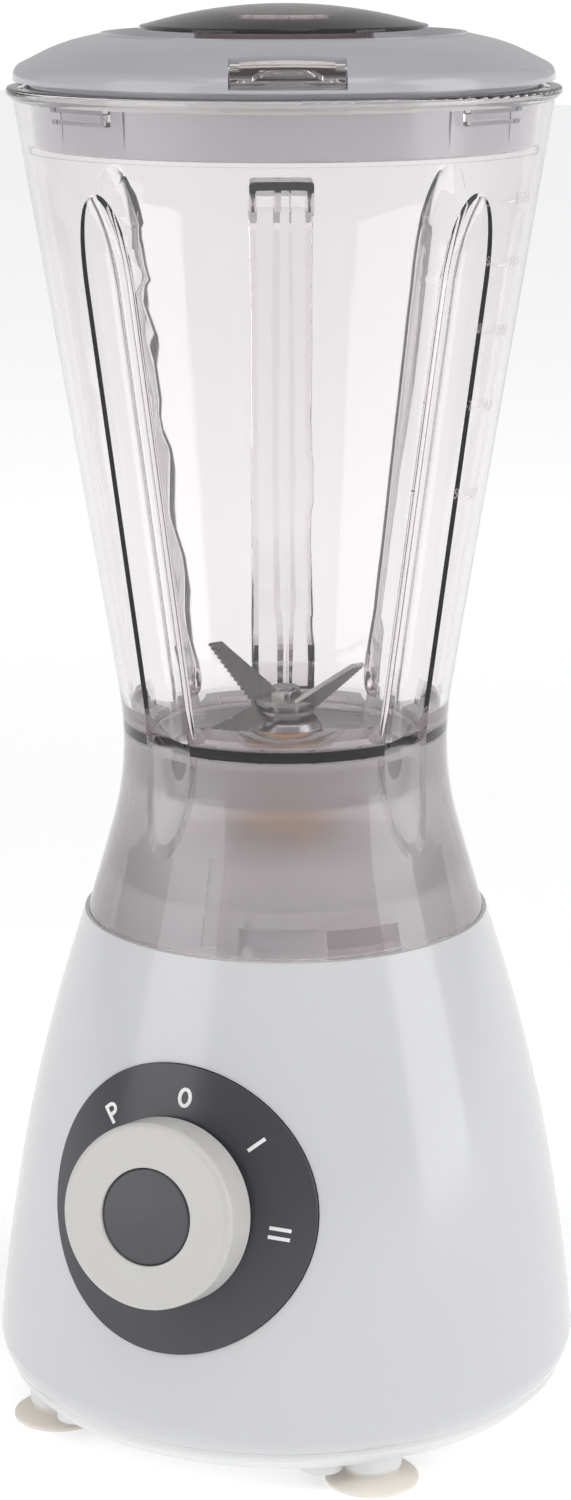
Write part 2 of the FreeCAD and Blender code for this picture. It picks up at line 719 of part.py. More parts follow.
def jar_handle():
    """Hollow C handle, open towards the cup, with a rib down its middle."""
    web = 2.6
    outer = [(66.0, 361.0), (GRIP_OUT, 361.0, 16.0), (GRIP_OUT, 230.0, 22.0), (64.0, 205.0, 20.0), (46.0, 205.0)]
    inner = [(46.5, 222.0), (66.0, 222.0, 14.0), (GRIP_IN, 240.0, 14.0), (GRIP_IN, 352.0, 8.0), (66.0, 352.0)]
    shape = slab(outer + inner, -GRIP_HALF, GRIP_HALF)
    shape = softened(shape, 1.2)
    hollow = [(60.0, 361.0 - web), (GRIP_OUT - web, 361.0 - web, 13.5), (GRIP_OUT - web, 231.5, 20.0),
              (64.5, 205.0 + web, 18.0), (40.0, 205.0 + web), (40.0, 223.0), (66.0, 223.0, 14.0),
              (GRIP_IN - 1.0, 240.6, 14.0), (GRIP_IN - 1.0, 351.0, 8.0), (60.0, 351.0)]
    for side in (-1, 1):
        y0, y1 = sorted((side * 1.2, side * (GRIP_HALF - 2.2)))
        shape = shape.cut(slab(hollow, y0, y1))
    return turned(shape, 90.0)


def softened(shape, r):
    """Round the long outer edges of the handle."""
    edges = []
    for edge in shape.Edges:
        box = edge.BoundBox
        flat = box.YMax - box.YMin < 0.01
        outer = box.XMax > GRIP_IN + 2.0 and box.ZMax < 361.5
        if flat and outer and box.XMin > 60.0:
            edges.append(edge)
    return shape.makeFillet(r, edges)


def rim_lugs():
    """Loop-shaped ribs inside the rim that steady the lid."""
    lugs = []
    r0, r1 = 71.7, 75.5
    for side in (-1, 1):
        bearing = side * 49.2
        lugs.append(sector(r0, r1, 389.3, 390.5, bearing, 8.6))
        lugs.append(sector(r0, r1, 386.1, 387.3, bearing, 8.6))
        lugs.append(sector(r0, r1, 386.1, 390.5, bearing - side * 8.1, 0.5))
    return lugs


def jar():
    outer = hourglass(0.0, SKIRT_Z, RIM_Z - 2.5)
    lip = revolve([(0, RIM_Z - 2.8), (cone_radius(RIM_Z) - 0.6, RIM_Z - 3.6), (LIP_R, RIM_Z - 1.8, 0.8),
                   (LIP_R, RIM_Z, 0.9), (0, RIM_Z)])
    outer = outer.fuse(lip)
    line = hourglass(-0.3, SKIRT_Z + 2, RIM_Z - 6).common(block(-0.3, 0.3, -90, 90, SKIRT_Z, RIM_Z))
    fluted = outer.fuse(line)
    for groove in flutes(FLUTE_R):
        fluted = fluted.cut(groove)
    inner = hourglass(JAR_WALL, SKIRT_Z - 5, RIM_Z + 5)
    for groove in flutes(FLUTE_R + JAR_WALL):
        inner = inner.cut(groove)
    shoulder = [(0, SHOULDER_Z), (cone_radius(SHOULDER_Z) - RIM_WALL, SHOULDER_Z),
                (cone_radius(RIM_Z + 5) - RIM_WALL, RIM_Z + 5), (0, RIM_Z + 5)]
    shell = fluted.cut(inner).cut(revolve(shoulder))
    inside = [jar_floor()] + jar_ring()
    for i in range(LUG_COUNT):
        turn = 120.0 * i
        inside.append(sector(50.6, 58.0, 154.2, 160.8, LUG_BEARING + turn, LUG_HALF))
        rib = turned(block(-2.7, 2.7, -58.0, -44.0, 155.5, 179.6), RIB_BEARING + turn)
        inside.append(rib.cut(hourglass(JAR_WALL + 1.6, SKIRT_Z - 5, RIM_Z)))
    inside += rim_lugs()
    within = [piece.common(fluted) for piece in inside]
    handle = jar_handle().cut(hourglass(0.8, SKIRT_Z, RIM_Z))
    body = join([shell] + within + [handle])
    return turned(body, REST_TURN)


# ---- blade unit ---------------------------------------------------------------------------------
HOUSING_TOP = 211.3


def bearing_housing():
    """Steel cup through the floor: flared flange inside, threaded stem below."""
    stem = HUB_HOLE_R - 0.1
    seat = FLOOR_Z + GAP
    section = [
        (BLADE_SHAFT_R + 1.6, HOUSING_TOP), (9.4, HOUSING_TOP, 2.2), (10.9, 208.4, 1.5), (11.3, seat + 1.9, 1.0),
        (14.4, seat + 1.2, 0.8), (14.4, seat), (stem, seat), (stem, 191.0), (6.4, 191.0),
        (6.4, 209.6), (BLADE_SHAFT_R + 1.6, 209.6),
    ]
    return revolve(section)


def housing_gasket():
    """Silicone ring clamped under the floor."""
    return tube(16.0, HUB_HOLE_R + 0.1, FLOOR_Z - 4.6, FLOOR_Z - 3.1)


def housing_nut():
    nut = Part.Face(Part.Wire(Part.makePolygon(
        [Vector(15.5 * math.cos(math.radians(60 * i)), 15.5 * math.sin(math.radians(60 * i)), FLOOR_Z - 10.0)
         for i in range(7)]))).extrude(Vector(0, 0, 5.0))
    return nut.cut(rod(HUB_HOLE_R - 0.1 + EPS, 190, 205))


def shaft_bushing():
    return tube(6.4 - EPS, BLADE_SHAFT_R + RUN, 191.4, 206.8)


def shaft_seal():
    section = [(BLADE_SHAFT_R + RUN, 207.1), (6.3, 207.1), (6.3, 209.4), (4.2, 209.4), (BLADE_SHAFT_R + RUN, 208.2)]
    return revolve(section)


def blade_shaft():
    shaft = rod(BLADE_SHAFT_R, 181.0, 219.4)
    flat = block(-5, 5, BLADE_SHAFT_R - 0.5, 5, 211.9, 217.2)
    return shaft.cut(flat).cut(block(-5, 5, BLADE_SHAFT_R - 0.6, 5, 180.0, 186.0))


def blade_arm(reach, root, tip, thick, scalloped):
    """Flat arm along +X with teeth on its +Y edge."""
    start = 6.6
    front = []
    if scalloped:
        front = [(start, root), (reach, tip * 0.4)]
    else:
        teeth = 13
        for i in range(teeth):
            share = i / teeth
            x = 8.0 + (reach - 8.0) * share
            y = root + (tip * 0.3 - root) * share
            front.append((x, y))
            front.append((x + (reach - 8.0) / teeth * 0.75, y - 0.9))
        front.insert(0, (start, root))
        front.append((reach, tip * 0.3))
    spots = [(start, -root)] + front + [(reach - 1.5, -tip)]
    corners = [Vector(x, y, 0) for x, y in spots]
    arm = Part.Face(Part.Wire(Part.makePolygon(corners + [corners[0]]))).extrude(Vector(0, 0, thick))
    if scalloped:
        bumps = 7
        for i in range(bumps):
            share = (i + 0.6) / bumps
            x = 8.5 + (reach - 9.5) * share
            y = root + (tip * 0.4 - root) * (x - start) / (reach - start)
            arm = arm.fuse(rod(1.35, 0, thick, x, y - 0.3))
    return arm.removeSplitter()


def blade(level, bearing, reach, root, tip, pitch, roll, scalloped):
    """Two-armed blade. The arms bend up by the pitch and lean over by the roll."""
    thick = 1.3
    hub = rod(8.6, 0, thick)
    arm = blade_arm(reach, root, tip, thick, scalloped)
    fold = Vector(7.6, 0, thick / 2)
    arm.rotate(fold, Vector(1, 0, 0), roll)
    arm.rotate(fold, Vector(0, 1, 0), -pitch)
    body = join([hub, arm, turned(arm, 180.0)])
    bore = rod(BLADE_SHAFT_R + EPS, -3, 5).cut(block(-5, 5, BLADE_SHAFT_R - 0.5 + EPS, 5, -4, 6))
    body = turned(body, bearing).cut(bore)
    return moved(body, 0, 0, level)


LOWER_LEVEL = 212.6
UPPER_LEVEL = 215.7


def lower_blade():
    return blade(LOWER_LEVEL, 244.6, 30.5, 5.4, 3.0, -12.5, -12.0, True)


def upper_blade():
    return blade(UPPER_LEVEL, 172.6, 31.0, 5.2, 3.2, 36.0, -16.0, False)


def blade_washers():
    lower = tube(5.6, BLADE_SHAFT_R + EPS, HOUSING_TOP + 0.4, LOWER_LEVEL - EPS)
    spacer = tube(5.2, BLADE_SHAFT_R + EPS, LOWER_LEVEL + 1.3 + EPS, UPPER_LEVEL - EPS)
    return [lower, spacer]


def blade_nut():
    """Domed hexagon nut on the top of the shaft."""
    level = UPPER_LEVEL + 1.3 + EPS
    corners = [Vector(5.0 * math.cos(math.radians(60 * i)), 5.0 * math.sin(math.radians(60 * i)), level)
               for i in range(7)]
    nut = Part.Face(Part.Wire(Part.makePolygon(corners))).extrude(Vector(0, 0, 2.6))
    dome = revolve([(0, level), (5.2, level), (5.2, level + 1.4, 1.0), (3.4, level + 3.6, 2.0), (0, level + 3.9)])
    body = nut.common(dome).fuse(rod(3.5, level + 2.0, level + 3.4))
    return body.cut(rod(BLADE_SHAFT_R + EPS, level - 1, 219.4 + EPS))


def driven_coupling():
    """Three-dog coupling under the jar. At rest its dogs stand midway between the driver's."""
    top = 185.0
    disc = rod(13.0, COUPLING_Z + 8.5, top)
    dogs = [sector(5.8, 12.2, COUPLING_Z + 0.6, COUPLING_Z + 9.0, 60.0 + 120.0 * i, DOG_HALF)
            for i in range(DOG_COUNT)]
    body = join([disc, rod(7.0, top - 1, 189.5)] + dogs)
    bore = rod(BLADE_SHAFT_R + EPS, 181.0 - EPS, 190.0)
    bore = bore.cut(block(-5, 5, BLADE_SHAFT_R - 0.6 + EPS, 5, 170.0, 186.0))
    return body.cut(bore)


# ---- lid ----------------------------------------------------------------------------------------
def lid_corners(drop):
    """Upper surface of the lid from the recess to its rim, lowered by the drop."""
    return [(RECESS_R, RIM_Z + 14.7 - drop, 1.0), (63.0, RIM_Z + 11.9 - drop, 45.0),
            (LID_R - drop * 0.8, RIM_Z + 5.3 - drop, 4.0 - drop * 0.6)]


def lid_solid(drop):
    """Everything under the lid's upper surface, down to the lid's rim."""
    low = RIM_Z + 1.8
    return revolve([(0, low)] + [(LID_R - drop * 0.8, low)] + lid_corners(drop)[::-1] + [(0, RIM_Z + 14.7 - drop)])


FLAP_BACK = 64.2
FLAP_BACK_GAP = 2.7
FLAP_SIDE_GAP = 0.4
FLAP_PIN_R = 0.7
FLAP_PIN_HALF = 16.5
FLAP_LOW = RIM_Z + 2.7


def flap_window(side_gap, back_gap):
    """Window for the pouring flap in the lid's front. The gaps draw its edges in, for the flap itself."""
    half = FLAP_HALF + FLAP_SIDE_GAP - side_gap
    return block(-half, half, -90.0, -FLAP_BACK - back_gap, FLAP_LOW + side_gap, RIM_Z + 20.0)


def lid_shell():
    skin = lid_solid(0.0).cut(lid_solid(2.0).fuse(rod(LID_R - 4.6, RIM_Z - 10, RIM_Z + 3.8)))
    brim = tube(LID_R, 71.0, RIM_Z + 1.8, RIM_Z + 3.6).common(lid_solid(0.0))
    plug = revolve([(69.7, RIM_Z + 4.5), (68.3, 377.6), (70.4, 377.6, 0.6), (71.9, RIM_Z + 1.0), (71.9, RIM_Z + 4.5)])
    plug = plug.fuse(tube(73.5, 69.7, RIM_Z + 1.8, RIM_Z + 5.4).common(lid_solid(0.0)))
    dish_out = revolve([(26.0, RIM_Z + 9.4), (47.5, RIM_Z + 9.9, 2.0), (51.5, RIM_Z + 12.6), (51.5, RIM_Z + 14.7),
                        (RECESS_R, RIM_Z + 14.7, 0.6), (47.0, RIM_Z + 11.9, 2.0), (28.0, RIM_Z + 11.4),
                        (26.0, RIM_Z + 11.4)])
    opening = rod(RECESS_R, RIM_Z + 5.0, RIM_Z + 30)
    collar = tube(27.9, NECK_R + 0.5, RIM_Z + 3.0, RIM_Z + 11.4)
    body = join([skin.cut(opening), brim, plug, dish_out, collar])
    for side in (-1, 1):
        for bearing in (37.2, 57.8):
            groove = turned(block(-0.4, 0.4, -74.0, -70.0, 370.0, 392.0), side * bearing)
            body = body.cut(groove.cut(rod(70.6, 360, 400)))
    body = body.cut(flap_window(0.0, 0.0))
    y, z = FLAP_AXIS
    ear_r = 2.4
    ears = []
    for side in (-1, 1):
        x0, x1 = sorted((side * (FLAP_HALF + FLAP_SIDE_GAP), side * (FLAP_HALF + 3.2)))
        ear = Part.makeCylinder(ear_r, x1 - x0, Vector(x0, y, z), Vector(1, 0, 0))
        ear = ear.fuse(block(x0, x1, y - ear_r, y + ear_r, z - 1.0, z + 1.8))
        ears.append(ear.common(lid_solid(0.3)))
    body = body.multiFuse(ears)
    hole_half = FLAP_PIN_HALF + 0.1
    body = body.cut(Part.makeCylinder(FLAP_PIN_R + RUN, 2 * hole_half, Vector(-hole_half, y, z), Vector(1, 0, 0)))
    return turned(body.removeSplitter(), REST_TURN)


def pour_flap():
    """Clear flap that closes the window, with an arched slot for a finger."""
    skin = lid_solid(0.0).cut(lid_solid(1.9)).common(
        flap_window(FLAP_SIDE_GAP, FLAP_BACK_GAP))
    y, z = FLAP_AXIS
    ears = []
    for side in (-1, 1):
        x0, x1 = sorted((side * (FLAP_HALF - 2.6), side * FLAP_HALF))
        ears.append(Part.makeCylinder(1.6, x1 - x0, Vector(x0, y, z), Vector(1, 0, 0)))
    flap = join([skin] + ears)
    arch = slab([(-9.4, RIM_Z + 5.0), (9.4, RIM_Z + 5.0), (4.5, RIM_Z + 7.0, 6.0), (-4.5, RIM_Z + 7.0, 6.0)], -90, -70)
    lip_z = RIM_Z + 7.2
    lip = slab([(-8.5, lip_z - 1.2), (-4.5, lip_z, 6.0), (4.5, lip_z, 6.0), (8.5, lip_z - 1.2), (8.5, lip_z),
                (4.8, lip_z + 1.0, 6.0), (-4.8, lip_z + 1.0, 6.0), (-8.5, lip_z)], -76.2, -72.0)
    flap = join([flap.cut(arch), lip.common(lid_solid(-0.2)).cut(lid_solid(2.2))])
    flap = flap.cut(Part.makeCylinder(FLAP_PIN_R + EPS, 60, Vector(-30, y, z), Vector(1, 0, 0)))
    return turned(flap, REST_TURN)


def flap_pins():
    y, z = FLAP_AXIS
    pins = []
    for side in (-1, 1):
        x0, x1 = sorted((side * (FLAP_HALF - 2.4), side * FLAP_PIN_HALF))
        pins.append(turned(Part.makeCylinder(FLAP_PIN_R, x1 - x0, Vector(x0, y, z), Vector(1, 0, 0)), REST_TURN))
    return pins


def lid_seal():
    """Silicone ring round the top of the plug."""
    section = [(72.0, 391.4), (73.3, 391.6, 0.3), (73.6, 392.6, 0.4), (73.3, 393.8, 0.3), (72.2, 393.8)]
    return revolve(section)


CAP_EDGE_Z = RIM_Z + 15.6


def lid_cap():
    """Lens-shaped cap on a hollow neck that drops into the lid's collar."""
    top = RIM_Z + 22.5
    rise = top - CAP_EDGE_Z - 0.9
    dome_r = (CAP_R * CAP_R + rise * rise) / (2 * rise)
    ball = Part.makeSphere(dome_r, Vector(0, 0, top - dome_r))
    dome = ball.common(rod(CAP_R, CAP_EDGE_Z + 0.2, top + 1))
    edge = revolve([(0, CAP_EDGE_Z), (CAP_R - 1.0, CAP_EDGE_Z, 0.5), (CAP_R, CAP_EDGE_Z + 0.6, 0.4),
                    (CAP_R - 0.6, CAP_EDGE_Z + 1.2), (0, CAP_EDGE_Z + 1.6)])
    inner = Part.makeSphere(dome_r, Vector(0, 0, top - dome_r - 2.2)).common(rod(CAP_R - 3.0, CAP_EDGE_Z + 0.0, top))
    neck = tube(NECK_R, NECK_R - 2.0, RIM_Z - 10.0, CAP_EDGE_Z + 2.0)
    body = join([dome, edge]).cut(inner.common(rod(NECK_R - 2.0, CAP_EDGE_Z - 1, top)))
    body = join([body.cut(rod(NECK_R - 2.0, CAP_EDGE_Z - 2, CAP_EDGE_Z + 1.0)), neck])
    return body


def main():
    os.makedirs("parts", exist_ok=True)
    pieces = {
        "base_shell": base_shell, "bottom_plate": bottom_plate, "suction_feet": suction_feet,
        "case_screws": case_screws, "cord_gland": cord_gland, "dial_plate": dial_plate,
        "control_knob": control_knob, "knob_cap": knob_cap, "switch_shaft": switch_shaft,
        "switch_body": switch_body, "switch_terminals": switch_terminals,
        "stator_core": stator_core, "field_coils": field_coils, "upper_motor_bracket": upper_bracket,
        "lower_motor_bracket": lower_bracket, "upper_bearing": lambda: motor_bearing(112.5, 123.5),
        "lower_bearing": lambda: motor_bearing(34.5, 43.5), "motor_bolts": motor_bolts, "bolt_spacers": bolt_spacers,
        "rubber_mounts": rubber_mounts, "mount_screws": mount_screws, "brush_holders": brush_holders,
        "carbon_brushes": carbon_brushes, "brush_springs": brush_springs, "motor_seal": motor_seal,
        "motor_shaft": motor_shaft, "rotor_core": rotor_core, "rotor_windings": rotor_windings,
        "commutator": commutator, "cooling_fan": cooling_fan, "driver_coupling": driver_coupling,
        "interlock_pin": interlock_pin, "interlock_spring": interlock_spring,
        "interlock_switch": interlock_switch, "circuit_board": circuit_board,
        "jar_seat_ring": jar_seat_ring, "jar": jar, "bearing_housing": bearing_housing, "housing_gasket": housing_gasket,
        "housing_nut": housing_nut, "shaft_bushing": shaft_bushing, "shaft_seal": shaft_seal,
        "blade_shaft": blade_shaft, "lower_blade": lower_blade, "upper_blade": upper_blade,
        "blade_washers": blade_washers, "blade_nut": blade_nut, "driven_coupling": driven_coupling,
        "lid_shell": lid_shell, "pour_flap": pour_flap, "flap_pins": flap_pins, "lid_seal": lid_seal,
        "lid_cap": lid_cap,
    }
    for name, make in pieces.items():
        save(name, make())


main()
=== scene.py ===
import math

import bmesh
import bpy
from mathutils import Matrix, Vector
from mathutils.bvhtree import BVHTree


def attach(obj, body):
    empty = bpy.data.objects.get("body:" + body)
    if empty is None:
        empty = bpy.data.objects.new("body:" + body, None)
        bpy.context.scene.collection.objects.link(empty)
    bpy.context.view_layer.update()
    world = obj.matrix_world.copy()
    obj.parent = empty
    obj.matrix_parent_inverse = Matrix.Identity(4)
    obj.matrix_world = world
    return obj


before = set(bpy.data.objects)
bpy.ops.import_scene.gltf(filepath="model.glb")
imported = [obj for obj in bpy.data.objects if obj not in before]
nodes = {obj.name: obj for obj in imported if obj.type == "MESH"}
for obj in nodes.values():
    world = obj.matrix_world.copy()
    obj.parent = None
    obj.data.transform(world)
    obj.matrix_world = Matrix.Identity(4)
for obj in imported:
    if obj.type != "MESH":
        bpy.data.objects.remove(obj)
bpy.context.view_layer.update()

# Looks of the countertop blender: a procedural material for every CAD piece, the dial's marks, the jar's
# scale, and a plain studio. Metres and degrees. Bearings run counter-clockwise seen from above, from -Y.

# ---- measures --------------------------------------------------------------------------------------
VIEW_BEARING = 25.2        # of the camera round the motor axis
VIEW_DISTANCE = 0.9845
VIEW_SHIFT = 0.0005        # of the camera to its right
VIEW_HEIGHT = 0.4484
VIEW_PITCH = 14.13
VIEW_ROLL = 0.11
VIEW_LENS = 82.4           # for a sensor 36 mm high

DIAL_Z = 0.084
DIAL_FRONT_Y = -0.0785
DIAL_TILT = math.radians(11.0)
DIAL_RAY = 0.05            # rays that find the dial's surface start this far in front of it
MARK_RING = 0.0325         # radius that the dial's marks stand on
MARK_HEIGHT = 0.0058
MARK_LINE = 0.00105
MARK_LIFT = 0.00006

JAR_TURN = 26.0            # of the jar's front from the dial
SCALE_BEARING = 64.0       # of the scale from the jar's front
SCALE_R = 0.066            # mean radius of the jar at its scale
SCALE_TICK = 0.0005
SCALE_LINE = 0.00042
SCALE_LIFT = 0.00008
SCALE_LEVELS = ((0.3645, "1500"), (0.3470, "1250"), (0.3277, "1000"), (0.3067, "750"), (0.2814, "500"))
SCALE_RAY = 0.2            # rays that find the jar's surface start this far from the axis

TINT_Z = 0.2085            # the jar's plastic is tinted below this
TINT_EDGE = 0.0005         # half the height that the tint fades in over
SKIRT_SLOPE = 0.2924       # radius the skirt loses per metre of height, up to its bend
SKIRT_FOOT_R = 0.0588 - 0.0012 + SKIRT_SLOPE * 0.1537    # middle of the skirt's wall, carried down to z = 0
SKIRT_BEND_Z = 0.1785
SKIRT_BEND_GAIN = 5.4
FLOOR_FOOT_Z = 0.1925      # the cup's floor, inside its ring, is untinted above this
RING_R = (0.0386, 0.0430)  # the ring under the cup's floor
RING_Z = (0.1925, 0.2046)
# the ring under the cup's floor is darkened by this factor: painted shade for the dark look of the thick
# plastic there
RING_PAINTED_SHADE = 0.5

FLOOR_HALF = 6.0
FLOOR_DROP = 0.0002
FLOOR_GLOW_REACH = (0.4, 1.5)    # the floor's glow grows between these distances from the blender
FLOOR_GLOW = (0.38, 0.60)
SKY_EDGE = (0.72, 0.955)   # cosines of the angles from straight ahead that the backdrop fades between
SKY_GLOW = (0.28, 0.5)
GROUND_GLOW = 1.02         # below the horizon, past the floor's edge
LAMP_AIM_Z = 0.2


# ---- shader nodes ----------------------------------------------------------------------------------
def new_material(name):
    material = bpy.data.materials.new(name)
    material.use_nodes = True
    tree = material.node_tree
    return material, tree, tree.nodes["Principled BSDF"]


def add_node(tree, kind, **values):
    made = tree.nodes.new(kind)
    for key, value in values.items():
        if key in made.inputs:
            made.inputs[key].default_value = value
        else:
            setattr(made, key, value)
    return made


def coords(tree, stretch=(1, 1, 1)):
    texture = add_node(tree, "ShaderNodeTexCoord")
    mapping = add_node(tree, "ShaderNodeMapping", Scale=stretch)
    tree.links.new(texture.outputs["Object"], mapping.inputs["Vector"])
    return mapping.outputs["Vector"]


def noise(tree, vector, scale, detail=3.0):
    made = add_node(tree, "ShaderNodeTexNoise", Scale=scale, Detail=detail)
    tree.links.new(vector, made.inputs["Vector"])
    return made.outputs["Fac"]


def map_range(tree, value, source, target, smooth=False):
    made = add_node(tree, "ShaderNodeMapRange", interpolation_type="SMOOTHSTEP" if smooth else "LINEAR")
    for key, number in zip(("From Min", "From Max", "To Min", "To Max"), source + target):
        made.inputs[key].default_value = number
    tree.links.new(value, made.inputs["Value"])
    return made.outputs["Result"]


def mix_colour(tree, factor, first, second):
    """Mix of two colours. Each is a triple or the output of another node."""
    made = add_node(tree, "ShaderNodeMix", data_type="RGBA")
    tree.links.new(factor, made.inputs[0])
    for socket, colour in ((made.inputs[6], first), (made.inputs[7], second)):
        if isinstance(colour, tuple):
            socket.default_value = (*colour, 1)
        else:
            tree.links.new(colour, socket)
    return made.outputs[2]


def shaded(colour, factor):
    return tuple(min(c * factor, 1) for c in colour)


def math_node(tree, operation, first, second):
    """One sum. Each term is a number or the output of another node."""
    made = add_node(tree, "ShaderNodeMath", operation=operation)
    for socket, value in zip(made.inputs, (first, second)):
        if isinstance(value, (int, float)):
            socket.default_value = value
        else:
            tree.links.new(value, socket)
    return made.outputs["Value"]


def bump(tree, shader, height, strength, distance):
    made = add_node(tree, "ShaderNodeBump", Strength=strength, Distance=distance)
    tree.links.new(height, made.inputs["Height"])
    tree.links.new(made.outputs["Normal"], shader.inputs["Normal"])


# ---- materials -------------------------------------------------------------------------------------
def moulded(name, colour, rough, coat=0.0, grain=900.0, depth=0.02, vary=0.03, stretch=(1, 1, 1), metal=0.0,
            subsurface=0.0):
    """A moulded, cast or rolled surface: fine grain, a little cloudiness in colour and in gloss."""
    material, tree, shader = new_material(name)
    vector = coords(tree, stretch)
    cloudy = mix_colour(tree, noise(tree, vector, 22.0), shaded(colour, 1 - vary), shaded(colour, 1 + vary))
    tree.links.new(cloudy, shader.inputs["Base Color"])
    gloss = map_range(tree, noise(tree, vector, 60.0), (0.0, 1.0), (rough * 0.85, rough * 1.15))
    tree.links.new(gloss, shader.inputs["Roughness"])
    bump(tree, shader, noise(tree, vector, grain, 2.0), depth, 0.0004)
    shader.inputs["Coat Weight"].default_value = coat
    shader.inputs["Coat Roughness"].default_value = 0.04
    shader.inputs["Metallic"].default_value = metal
    shader.inputs["Subsurface Weight"].default_value = subsurface
    shader.inputs["Subsurface Scale"].default_value = 0.002
    return material


def brushed(name, colour, rough, stretch):
    return moulded(name, colour, rough, grain=260.0, depth=0.08, vary=0.06, stretch=stretch, metal=1.0)


def make_clear(tree, shader, colour, vector, ior, soak, soak_colour):
    """Make the shader clear plastic, darker where thick, that lamps reach through."""
    tree.links.new(colour, shader.inputs["Base Color"])
    shader.inputs["Transmission Weight"].default_value = 1.0
    shader.inputs["IOR"].default_value = ior
    bump(tree, shader, noise(tree, vector, 25.0, 1.0), 0.01, 0.0003)
    per_surface = add_node(tree, "ShaderNodeGamma", Gamma=0.5)
    tree.links.new(colour, per_surface.inputs["Color"])
    lamps = add_node(tree, "ShaderNodeBsdfTransparent")
    tree.links.new(per_surface.outputs["Color"], lamps.inputs["Color"])
    path = add_node(tree, "ShaderNodeLightPath")
    either = add_node(tree, "ShaderNodeMixShader")
    tree.links.new(path.outputs["Is Shadow Ray"], either.inputs[0])
    tree.links.new(shader.outputs[0], either.inputs[1])
    tree.links.new(lamps.outputs[0], either.inputs[2])
    output = tree.nodes["Material Output"]
    tree.links.new(either.outputs[0], output.inputs["Surface"])
    if soak:
        absorb = add_node(tree, "ShaderNodeVolumeAbsorption", Color=(*soak_colour, 1), Density=soak)
        tree.links.new(absorb.outputs[0], output.inputs["Volume"])


def clear(name, colour, rough, ior, soak=0.0, soak_colour=(0.0, 0.0, 0.0)):
    material, tree, shader = new_material(name)
    vector = coords(tree)
    cloudy = mix_colour(tree, noise(tree, vector, 30.0), shaded(colour, 0.992), colour)
    shader.inputs["Roughness"].default_value = rough
    make_clear(tree, shader, cloudy, vector, ior, soak, soak_colour)
    return material


def jar_zones(tree):
    """Masks, in the jar's own place: the ring under the floor, which gets painted shade, what is tinted, and
    what is hazy.
    """
    texture = add_node(tree, "ShaderNodeTexCoord")
    place = add_node(tree, "ShaderNodeSeparateXYZ")
    tree.links.new(texture.outputs["Object"], place.inputs["Vector"])
    height = place.outputs["Z"]
    flat = add_node(tree, "ShaderNodeCombineXYZ")
    tree.links.new(place.outputs["X"], flat.inputs["X"])
    tree.links.new(place.outputs["Y"], flat.inputs["Y"])
    length = add_node(tree, "ShaderNodeVectorMath", operation="LENGTH")
    tree.links.new(flat.outputs["Vector"], length.inputs[0])
    radius = length.outputs["Value"]

    above = math_node(tree, "MAXIMUM", math_node(tree, "SUBTRACT", height, SKIRT_BEND_Z), 0.0)
    bulge = math_node(tree, "MULTIPLY", math_node(tree, "MULTIPLY", above, above), SKIRT_BEND_GAIN)
    skirt = math_node(tree, "MULTIPLY", height, -SKIRT_SLOPE)
    skirt = math_node(tree, "ADD", math_node(tree, "ADD", skirt, SKIRT_FOOT_R), bulge)
    inside_wall = math_node(tree, "LESS_THAN", radius, skirt)

    outside = math_node(tree, "GREATER_THAN", radius, RING_R[0])
    in_band = math_node(tree, "MULTIPLY", outside, math_node(tree, "LESS_THAN", radius, RING_R[1]))
    at_level = math_node(tree, "MULTIPLY", math_node(tree, "LESS_THAN", height, RING_Z[1]),
                         math_node(tree, "GREATER_THAN", height, RING_Z[0]))
    ring = math_node(tree, "MULTIPLY", in_band, at_level)

    below = map_range(tree, height, (TINT_Z + TINT_EDGE, TINT_Z - TINT_EDGE), (0.0, 1.0))
    low = math_node(tree, "LESS_THAN", height, FLOOR_FOOT_Z)
    tinted = math_node(tree, "MULTIPLY", below, math_node(tree, "MAXIMUM", outside, low))
    hazy = math_node(tree, "MULTIPLY", inside_wall, tinted)
    return ring, tinted, hazy


def jar_plastic(name, upper, lower, rough, haze, passing, ior, soak, soak_colour):
    """The jar's clear plastic. Its lower part is tinted, and hazy on every face inside the skirt's wall. The
    ring under the cup's floor is painted darker, as painted shade.
    """
    material, tree, shader = new_material(name)
    vector = coords(tree)
    ring, tinted, hazy = jar_zones(tree)
    cloud = noise(tree, vector, 30.0)
    colour_up = mix_colour(tree, cloud, shaded(upper, 0.992), upper)
    colour_low = mix_colour(tree, cloud, shaded(lower, 0.97), lower)
    colour = mix_colour(tree, tinted, colour_up, colour_low)
    # painted shade: the ring under the cup's floor gets a darker copy of the lower tint
    colour = mix_colour(tree, ring, colour, shaded(lower, RING_PAINTED_SHADE))
    make_clear(tree, shader, colour, vector, ior, soak, soak_colour)
    tree.links.new(map_range(tree, hazy, (0.0, 1.0), (rough, haze)), shader.inputs["Roughness"])
    tree.links.new(map_range(tree, hazy, (0.0, 1.0), (1.0, passing)), shader.inputs["Transmission Weight"])
    return material


